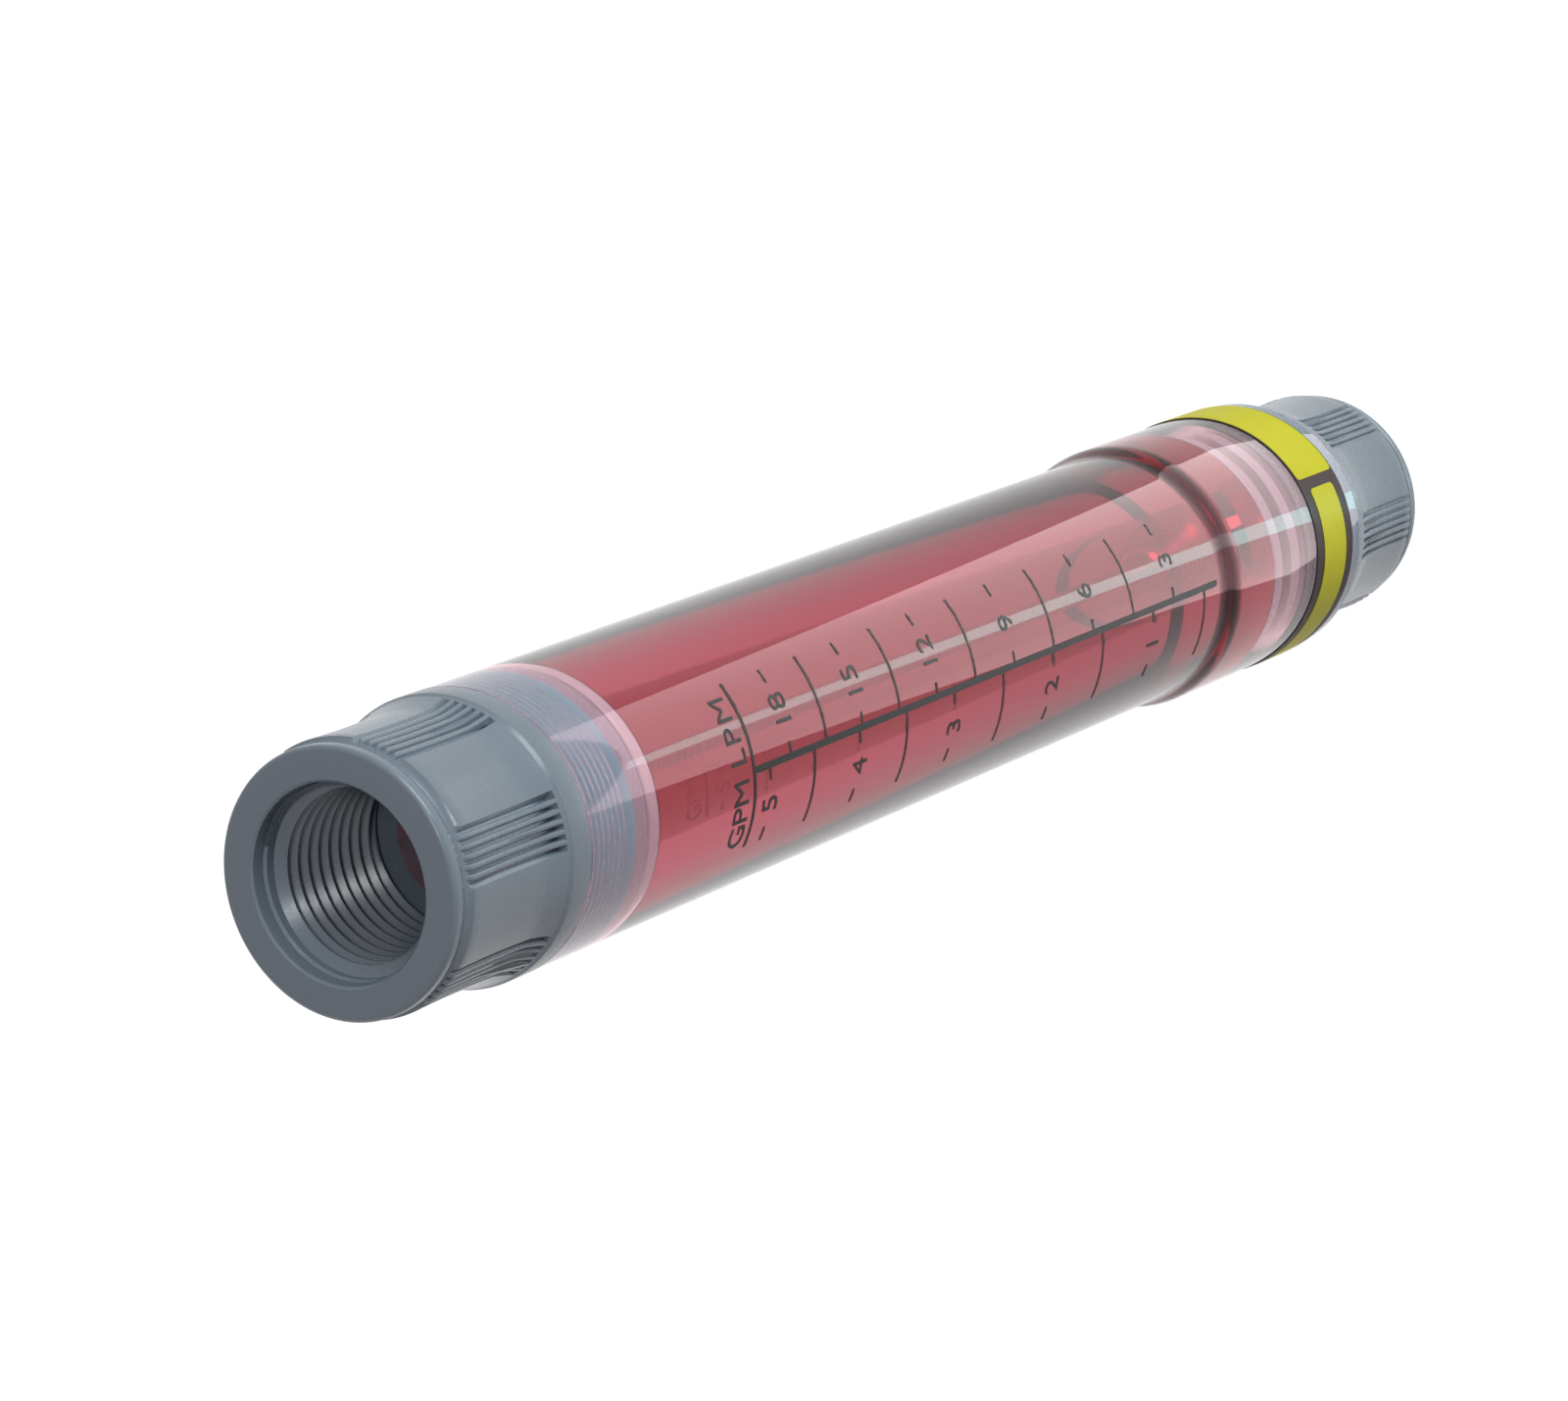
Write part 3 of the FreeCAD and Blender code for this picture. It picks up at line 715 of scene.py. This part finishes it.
# the port thread's section: (share of its depth, share of half a pitch), then its foot in the wall
portTooth = {"crest": ((0.86, -0.22), (1.0, -0.10), (1.0, 0.10), (0.86, 0.22)), "foot": 0.93,
             "footDepth": 0.02 * mm, "root": 0.25 * mm, "outletGap": 0.4 * mm, "inletGap": 0.6 * mm}


def portThread(name, upper):
    # the thread inside a port, right-handed at both ends
    f = fitting
    depth = f["portMinor"] - f["portMajor"]
    half = f["threadPitch"] / 2
    tooth = [(portTooth["footDepth"], -half * portTooth["foot"])]
    tooth += [(depth * down, half * along) for down, along in portTooth["crest"]]
    tooth += [(portTooth["footDepth"], half * portTooth["foot"]), (portTooth["root"], 0)]
    gaps = portTooth["outletGap"] + portTooth["inletGap"]
    turns = (f["portDepth"] - f["mouthDepth"] - gaps) / f["threadPitch"]
    low = f["mouthDepth"] + portTooth["inletGap"]
    if upper:
        low = totalHigh - f["portDepth"] + portTooth["outletGap"]
    source = outlineObject(name + "Tooth", [(f["portMajor"] + r, low + z) for r, z in tooth])
    thread = baked(name + "Thread", source, turningTree, {
        "Steps": int(turns * f["threadSteps"]), "Turns": turns, "Pitch": f["threadPitch"],
        "Fade Turns": f["threadFade"], "Wall Radius": f["portMajor"]}, "grey_plastic")
    return finishMesh(thread, sharpDegrees=50, fill=True)


def makeFitting(name, spigotLine, turnDegrees, upper, nodeName):
    f = fitting
    place = (lambda u: totalHigh - u) if upper else (lambda u: u)
    turn = math.radians(turnDegrees)
    corners = [(r, place(u)) for r, u in fittingOutline(spigotLine)]
    turned = turnedPiece(name + "Turned", corners, "grey_plastic", f["steps"])
    heights = sorted((place(f["neckLow"] + f["pocketPastNeck"]), place(f["channelHigh"])))
    reach = math.radians(f["channelPitch"] * (f["channels"] - 1) / 2) + f["pocketSide"] / f["grip"]
    body = baked(name, turned, pocketTree, {
        "Groups": f["groups"], "Half Width": reach + math.radians(f["pocketMargin"]),
        "Edge": math.radians(f["pocketEdge"]), "Floor Radius": f["grip"] - f["channelDepth"],
        "Low": heights[0], "High": heights[1], "Turn": turn}, "grey_plastic")
    finishMesh(body, sharpDegrees=32)
    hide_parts(nodeName)
    return [body, gripRibs(name, place, turn), portThread(name, upper)]


pieces = []
pieces += makeFitting("outletFitting", outletSpigot(), fitting["outletTurn"], True, "outlet_fitting")
pieces += makeFitting("inletFitting", inletSpigot(), fitting["inletTurn"], False, "inlet_fitting")
print("end fittings are ready")


tube = {
    "wall": 2.0 * mm, "thickStep": 1.0 * mm, "thickLength": 35.0 * mm, "blend": 5.0 * mm,
    "smallBore": 7.0 * mm, "boreWidening": 2.2 * mm, "noseGap": 0.3 * mm, "sealStep": 0.2 * mm,
    "threadLength": 12.0 * mm, "inletTooth": 0.4 * mm, "outletTooth": 0.16 * mm,
    "shoulderGap": 2.0 * mm, "edge": 0.3 * mm, "boreEdge": 0.2 * mm, "steps": 256,
}


def makeTube():
    t = tube
    thickHigh = tubeLow + t["thickLength"]
    blendHigh = thickHigh + t["blend"]
    threadHigh = tubeLow + t["threadLength"]
    inletHole = thickRadius - t["wall"]
    outletHole = tubeRadius - t["wall"]
    seal = inletHole - t["sealStep"]
    shoulder = outletNose - t["shoulderGap"]
    boreLow = inletNose + t["noseGap"]
    # outside, from the inlet end up to the outlet end
    line = [(inletHole, tubeLow), (thickRadius - t["edge"], tubeLow), (thickRadius, tubeLow + t["edge"])]
    line += [(thickRadius, thickHigh)]
    blendMiddle = (tubeRadius + t["thickStep"] / 2, thickHigh + t["blend"] / 2)
    lowBow = (thickRadius - t["thickStep"] / 8, thickHigh + t["blend"] / 4)
    highBow = (tubeRadius + t["thickStep"] / 8, blendHigh - t["blend"] / 4)
    line += arcThrough((thickRadius, thickHigh), lowBow, blendMiddle, 7)
    line += arcThrough(blendMiddle, highBow, (tubeRadius, blendHigh), 7)
    line += [(tubeRadius, tubeHigh - t["edge"]), (tubeRadius - t["edge"], tubeHigh), (outletHole, tubeHigh)]
    # inside, back down: outlet thread, tapered bore, seal wall, inlet thread
    line += threadTeeth(outletHole, -t["outletTooth"], tubeHigh - spigot["outletStart"],
                        tubeHigh - spigot["outletThread"], spigot["outletPitch"])
    line += [(outletHole, shoulder + t["boreEdge"]), (outletHole - t["boreEdge"], shoulder),
             (t["smallBore"] + t["boreWidening"], shoulder), (t["smallBore"], boreLow),
             (seal - t["boreEdge"], boreLow), (seal, boreLow - t["boreEdge"]), (seal, threadHigh),
             (inletHole, threadHigh)]
    line += threadTeeth(inletHole, -t["inletTooth"], threadHigh - spigot["inletRunOut"],
                        tubeLow + spigot["inletStart"], spigot["inletPitch"])
    made = turnedPiece("clearTube", line, "rose_acrylic", t["steps"], sharpDegrees=30)
    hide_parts("metering_tube")
    return made


clearTube = makeTube()
pieces.append(clearTube)
print("metering tube is ready")


# the two sides of the printed scale, each in its own unit; arcs and offsets are in degrees
gallonSide = {"top": 5.0, "low": 0.5, "step": 0.5, "perGallon": 1.0, "arc": 32.0, "side": -1.0}
litreSide = {"top": 18.0, "low": 3.0, "step": 1.5, "perGallon": 3.785, "arc": 37.0, "side": 1.0}
scale = {
    "line": 0.8 * mm, "mark": 0.4 * mm, "border": 0.5 * mm, "short": 6.0, "ink": 0.10 * mm,
    "lift": 0.055 * mm, "closing": 0.0376, "topBelowLimit": 3.3 * mm, "edgeBelowTop": 9.0 * mm,
    "digitHeight": 3.2 * mm, "unitHeight": 3.1 * mm, "unitGap": 1.3 * mm, "capitalShare": 0.72,
    "slice": 0.5 * mm, "units": (("GPM", -16.0, 0.92), ("LPM", 18.0, 1.16)),
}
travel = [j for j in frame["joints"] if j["name"] == "float_rise"][0]["range_m"][1]
scale["zero"] = floatBox[1].z - scale["edgeBelowTop"]
scale["span"] = travel - scale["topBelowLimit"]
inkRadius = tubeRadius + scale["lift"] - scale["ink"] / 2


def markHeight(gallons):
    full = gallonSide["top"] * (1 - scale["closing"] * gallonSide["top"])
    return scale["zero"] + scale["span"] * gallons * (1 - scale["closing"] * gallons) / full


def markCount(unit):
    return round((unit["top"] - unit["low"]) / unit["step"]) + 1


def sliced(work, places):
    # cut across X at each place, so that the flat piece can bend round the tube
    for x in places:
        everything = work.verts[:] + work.edges[:] + work.faces[:]
        bmesh.ops.bisect_plane(work, geom=everything, plane_co=(x, 0, 0), plane_no=(1, 0, 0))


def flatBar(name, width, low, high, count):
    # a thin bar in the flat, to be wrapped round the tube
    work = bmesh.new()
    bmesh.ops.create_cube(work, size=1.0)
    bmesh.ops.scale(work, vec=(width, scale["ink"], high - low), verts=work.verts)
    bmesh.ops.translate(work, vec=(0, 0, (low + high) / 2), verts=work.verts)
    sliced(work, [-width / 2 + width * i / count for i in range(1, count)])
    return keptMesh(name, work)


def flatText(name, body, height, spacing):
    # solid letters in the flat, centred, standing on Z = 0
    curve = bpy.data.curves.new(name, "FONT")
    curve.body = body
    curve.size = height / scale["capitalShare"]
    curve.align_x = "CENTER"
    curve.space_character = spacing
    curve.extrude = scale["ink"] / 2
    curve.resolution_u = 5
    text = linked(name, curve)
    mesh = bpy.data.meshes.new_from_object(text.evaluated_get(bpy.context.evaluated_depsgraph_get()))
    bpy.data.objects.remove(text)
    mesh.transform(Matrix.Rotation(math.pi / 2, 4, "X"))
    work = bmesh.new()
    work.from_mesh(mesh)
    bmesh.ops.remove_doubles(work, verts=work.verts, dist=flatMerge)
    spread = [v.co.x for v in work.verts]
    first = math.ceil(min(spread) / scale["slice"])
    last = math.floor(max(spread) / scale["slice"])
    sliced(work, [i * scale["slice"] for i in range(first, last + 1)])
    return keptMesh(name, work)


def wrapped(name, source, azimuthDegrees, radius, slotName):
    values = {"Radius": radius, "Azimuth": math.radians(azimuthDegrees)}
    made = baked(name, source, wrapTree, values, slotName)
    return finishMesh(made, sharpDegrees=40, merge=flatMerge)


def printed(name, source, offsetDegrees=0.0):
    # ink on the tube, so far round from the scale's line
    return wrapped(name, source, frontAzimuth + offsetDegrees, inkRadius, "scale_ink")


def printedText(name, body, height, low, offsetDegrees, spacing=1.0):
    flat = flatText(name + "Flat", body, height, spacing)
    flat.data.transform(Matrix.Translation((0, 0, low)))
    return printed(name, flat, offsetDegrees)


def sideMarks(name, unit):
    seed = outlineObject(name + "Seed", [(0, 0), (0, mm)], False)
    made = baked(name, seed, markTree, {
        "Count": markCount(unit), "Top Flow": unit["top"] / unit["perGallon"],
        "Flow Step": unit["step"] / unit["perGallon"], "Full Flow": gallonSide["top"],
        "Closing": scale["closing"], "Zero Height": scale["zero"], "Span": scale["span"],
        "Side": unit["side"], "Arc": math.radians(unit["arc"]) * tubeRadius,
        "Short": math.radians(scale["short"]) * tubeRadius, "Width": scale["mark"],
        "Thickness": scale["ink"], "Radius": inkRadius, "Azimuth": math.radians(frontAzimuth)}, "scale_ink")
    return finishMesh(made, sharpDegrees=40, merge=flatMerge)


def joinedPiece(name, parts):
    # one object from several
    work = bmesh.new()
    for part in parts:
        work.from_mesh(part.data)
    made = keptMesh(name, work)
    for material in parts[0].data.materials:
        made.data.materials.append(material)
    made["ridesOn"] = parts[0]["ridesOn"]
    made["finish"] = parts[0]["finish"]
    for part in parts:
        bpy.data.objects.remove(part)
    return made


def scaleLines():
    # the line up the front, the border above it and the marks on both sides
    borderHeight = middleHeight(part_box("scale_border"))
    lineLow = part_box("scale_line")[0].z
    line = printed("scaleLine", flatBar("scaleLineFlat", scale["line"], lineLow, borderHeight, count=4))
    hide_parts("scale_line")
    width = math.radians(litreSide["arc"] + gallonSide["arc"]) * tubeRadius
    low, high = borderHeight - scale["border"] / 2, borderHeight + scale["border"] / 2
    bar = flatBar("scaleBorderFlat", width, low, high, count=48)
    border = printed("scaleBorder", bar, (litreSide["arc"] - gallonSide["arc"]) / 2)
    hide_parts("scale_border")
    gallons = sideMarks("gallonMarks", gallonSide)
    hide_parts("gallon_marks")
    litres = sideMarks("litreMarks", litreSide)
    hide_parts("litre_marks")
    return [line, border, gallons, litres]


def scaleLetters():
    # a number at every second mark of each side, and the units above the border
    numbers = []
    for unit in (gallonSide, litreSide):
        for i in range(0, markCount(unit), 2):
            value = unit["top"] - i * unit["step"]
            text = f"{value:.0f}"
            low = markHeight(value / unit["perGallon"]) - scale["digitHeight"] / 2
            offset = unit["side"] * unit["arc"] / 2
            numbers.append(printedText("digits" + text, text, scale["digitHeight"], low, offset))
    units = []
    low = middleHeight(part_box("scale_border")) + scale["unitGap"]
    for text, offset, spacing in scale["units"]:
        units.append(printedText("unit" + text, text, scale["unitHeight"], low, offset, spacing))
    return [joinedPiece("scaleNumbers", numbers), joinedPiece("scaleUnits", units)]


pieces += scaleLines()
pieces += scaleLetters()
print("printed scale is ready")


# start, wrap, block, gap and blockInset run round the tube, in degrees
label = {
    "film": 0.12 * mm, "print": 0.06 * mm, "start": 25.0, "wrap": 190.0, "block": 85.0, "gap": 6.0,
    "blockInset": 0.6, "strip": 6.4 * mm, "margin": 0.35 * mm, "sink": 0.03 * mm, "corner": 0.7 * mm,
    "cornerShare": 0.2, "cornerColumns": (0.12, 0.4, 1.0), "column": 2.5,
}


def labelBand(name, low, high, startDegrees, wrapDegrees, inner, outer, slotName):
    # a strip of film laid round the thick end, with rounded corners
    wrap = math.radians(wrapDegrees) * outer
    corner = min(label["corner"], (high - low) * label["cornerShare"])
    count = max(8, int(wrapDegrees / label["column"]))
    columns = [-wrap / 2 + wrap * i / count for i in range(count + 1)]
    for share in label["cornerColumns"]:
        columns += [-wrap / 2 + corner * share, wrap / 2 - corner * share]
    work = bmesh.new()
    rows = []
    for x in sorted(columns):
        fromEnd = min(x + wrap / 2, wrap / 2 - x)
        inset = 0.0
        if fromEnd < corner:
            inset = corner - math.sqrt(max(0.0, corner ** 2 - (corner - fromEnd) ** 2))
        section = ((0, low + inset), (0, high - inset), (outer - inner, high - inset),
                   (outer - inner, low + inset))
        rows.append([work.verts.new((x, y, z)) for y, z in section])
    for a, b in zip(rows, rows[1:]):
        for k in range(4):
            work.faces.new((a[k], b[k], b[(k + 1) % 4], a[(k + 1) % 4]))
    work.faces.new(rows[0])
    work.faces.new(rows[-1])
    return wrapped(name, keptMesh(name + "Flat", work), startDegrees - wrapDegrees / 2, outer, slotName)


def makeLabel():
    # the dark film, and on it a printed block and a strip that runs on round the tube
    low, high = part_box("label_film")[0].z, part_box("label_film")[1].z
    start, inset = label["start"], label["blockInset"]
    filmInner = thickRadius - label["sink"]
    filmOuter = thickRadius + label["film"]
    film = labelBand("labelFilm", low, high, start, label["wrap"], filmInner, filmOuter, "label_black")
    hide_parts("label_film")
    walls = (filmOuter - label["sink"], filmOuter + label["print"], "label_yellow")
    block = labelBand("labelBlock", low + label["margin"], high - label["margin"], start - inset,
                      label["block"], *walls)
    stripStart = label["block"] + label["gap"]
    stripLow = (low + high - label["strip"]) / 2
    strip = labelBand("labelStrip", stripLow, stripLow + label["strip"], start - stripStart,
                      label["wrap"] - stripStart - inset, *walls)
    fields = joinedPiece("labelFields", [block, strip])
    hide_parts("label_fields")
    return [film, fields]


pieces += makeLabel()
print("label is ready")


seal = {"squeeze": 0.01 * mm, "round": 0.42 * mm, "inner": 0.25 * mm, "steps": 160}


def squeezedSeal(name, nodeName, wallRadius, slotName):
    # an O-ring pressed flat against its wall and bulging in its groove
    low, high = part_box(nodeName)
    section = high.z - low.z
    outer = wallRadius - seal["squeeze"]
    inner = high.x - section - seal["inner"]
    lowSide, highSide = low.z + seal["squeeze"], high.z - seal["squeeze"]
    corners = [(inner, lowSide), (outer, lowSide), (outer, highSide), (inner, highSide)]
    made = turnedPiece(name, softened(corners, seal["round"]), slotName, seal["steps"], sharpDegrees=60)
    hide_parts(nodeName)
    return made


outletSealWall = tubeRadius - tube["wall"]
inletSealWall = thickRadius - tube["wall"] - tube["sealStep"]
pieces.append(squeezedSeal("outletSeal", "outlet_o_ring", outletSealWall, "pale_silicone"))
pieces.append(squeezedSeal("inletSealLower", "inlet_o_ring_lower", inletSealWall, "seal_rubber"))
pieces.append(squeezedSeal("inletSealUpper", "inlet_o_ring_upper", inletSealWall, "seal_rubber"))
print("seals are ready")


# nodes that keep their own shape and only take a material
carried = {
    "stainless": ("guide_rod", "lower_rod_clip", "upper_rod_clip", "float_body"),
    "white_polymer": ("lower_rod_holder", "upper_rod_holder", "lower_float_stop", "upper_float_stop"),
}
for slotName, nodeNames in carried.items():
    for nodeName in nodeNames:
        node = frame["nodes"][nodeName]
        node.data.materials.clear()
        node.data.materials.append(finishes[slotName])

for piece in pieces:
    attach(piece, piece["ridesOn"])


def seenDirectly(tree):
    # 1 for what is seen, also in a reflection or through the tube, and 0 for what only gives light
    seen = addNode(tree, "ShaderNodeLightPath").outputs
    shown = calc("MAXIMUM", seen["Is Camera Ray"], seen["Is Glossy Ray"])
    return calc("MAXIMUM", shown, seen["Is Transmission Ray"])


paleFloor = {"reach": 3.0, "colour": (0.55, 0.55, 0.55, 1), "roughness": 0.9, "glow": 0.88}


def makeFloor():
    # a pale floor that looks brighter than the light it gives back
    reach = paleFloor["reach"]
    mesh = bpy.data.meshes.new("studioFloor")
    corners = [(-reach, -reach, 0), (reach, -reach, 0), (reach, reach, 0), (-reach, reach, 0)]
    mesh.from_pydata(corners, [], [(0, 1, 2, 3)])
    floor = linked("studioFloor", mesh)
    made, tree, shader = newMaterial("paleFloor")[:3]
    feed(shader, {"Base Color": paleFloor["colour"], "Roughness": paleFloor["roughness"]})
    feeds = {"Color": (1, 1, 1, 1), "Strength": paleFloor["glow"]}
    glow = addNode(tree, "ShaderNodeEmission", feeds)
    both = addNode(tree, "ShaderNodeAddShader", {0: shader.outputs[0], 1: glow.outputs[0]})
    surfaceMix(tree, seenDirectly(tree), shader, both, tree.nodes["Material Output"])
    mesh.materials.append(made)


room = {"colour": (1.0, 0.88, 0.98, 1), "strength": 0.12, "backdrop": (1, 1, 1, 1), "backdropStrength": 1.0}


def makeWorld():
    # a white backdrop, with a much weaker light from all round
    world = bpy.data.worlds.new("studioWorld")
    bpy.context.scene.world = world
    world.use_nodes = True
    tree = world.node_tree
    ambient = tree.nodes["Background"]
    feed(ambient, {"Color": room["colour"], "Strength": room["strength"]})
    feeds = {"Color": room["backdrop"], "Strength": room["backdropStrength"]}
    white = addNode(tree, "ShaderNodeBackground", feeds)
    surfaceMix(tree, seenDirectly(tree), ambient, white, tree.nodes["World Output"])


def addLamp(name, place, target, size, watts, colour):
    data = bpy.data.lights.new(name, "AREA")
    data.shape = "RECTANGLE"
    data.size, data.size_y = size
    data.energy = watts
    data.color = colour
    lamp = linked(name, data)
    lamp.location = place
    lamp.rotation_euler = (Vector(target) - Vector(place)).to_track_quat("-Z", "Y").to_euler()
    return lamp


def hideFrom(lamp, *rays):
    for ray in rays:
        setattr(lamp, "visible_" + ray, False)


card = {
    "lowDistance": 0.024, "highDistance": 0.058, "height": 0.140, "azimuth": -60.0, "width": 0.066,
    "watts": 0.078, "colour": (1.0, 1.0, 1.0), "streakWidth": 0.005, "streakSide": -0.0085,
    "streakLift": 0.001, "streakWatts": 0.009, "streakColour": (0.40, 1.0, 0.92),
}


def addCard():
    # a pale card leaning beside the tube: only reflections show it, as one broad soft band along the tube
    azimuth = math.radians(card["azimuth"])
    outward = Vector((math.cos(azimuth), math.sin(azimuth), 0))
    across = Vector((-math.sin(azimuth), math.cos(azimuth), 0))
    low, high, height = card["lowDistance"], card["highDistance"], card["height"]
    rise = outward * (high - low) + Vector((0, 0, height))
    place = outward * (low + high) / 2 + Vector((0, 0, height / 2))
    face = rise.cross(across).normalized()
    broad = addLamp("reflectionCard", place, place + face, (card["width"], rise.length), card["watts"],
                    card["colour"])
    near = place + across * card["streakSide"] + face * card["streakLift"]
    streak = addLamp("reflectionStreak", near, near + face, (card["streakWidth"], rise.length),
                     card["streakWatts"], card["streakColour"])
    for made in (broad, streak):
        hideFrom(made, "camera", "diffuse", "transmission")


# place, height that it points at as a share of the meter's, size, watts, colour
lamps = {
    "windowLight": ((0.80, -0.60, 0.32), 0.6, (0.5, 0.6), 6.2, (0.88, 1.0, 0.99)),
    "topLight": ((0.224, -0.332, 0.925), 1.0, (0.12, 0.12), 1.0, (0.94, 0.98, 1.0)),
    "backFill": ((-0.55, 0.65, 0.35), 0.6, (0.5, 0.5), 2.2, (0.96, 0.98, 1.0)),
}


def makeLamps():
    for name, (place, share, size, watts, colour) in lamps.items():
        lamp = addLamp(name, place, (0, 0, totalHigh * share), size, watts, colour)
        if name == "backFill":
            hideFrom(lamp, "camera", "glossy", "transmission")
    addCard()


camera = {
    "place": (0.10855, -0.33068, 0.67093), "forward": (-0.170, 0.523, -0.835), "up": (0.980, 0.0, -0.200),
    "lens": 125.8, "sensor": 36.0, "clipStart": 0.01,
}


def makeCamera():
    data = bpy.data.cameras.new("camera")
    data.lens = camera["lens"]
    data.sensor_width = camera["sensor"]
    data.clip_start = camera["clipStart"]
    made = linked("camera", data)
    back = -Vector(camera["forward"]).normalized()
    right = Vector(camera["up"]).cross(back).normalized()
    up = back.cross(right)
    turn = Matrix((right, up, back)).transposed().to_4x4()
    made.matrix_world = Matrix.Translation(camera["place"]) @ turn
    bpy.context.scene.camera = made


makeFloor()
makeWorld()
makeLamps()
makeCamera()
bpy.context.scene.view_settings.view_transform = "Standard"
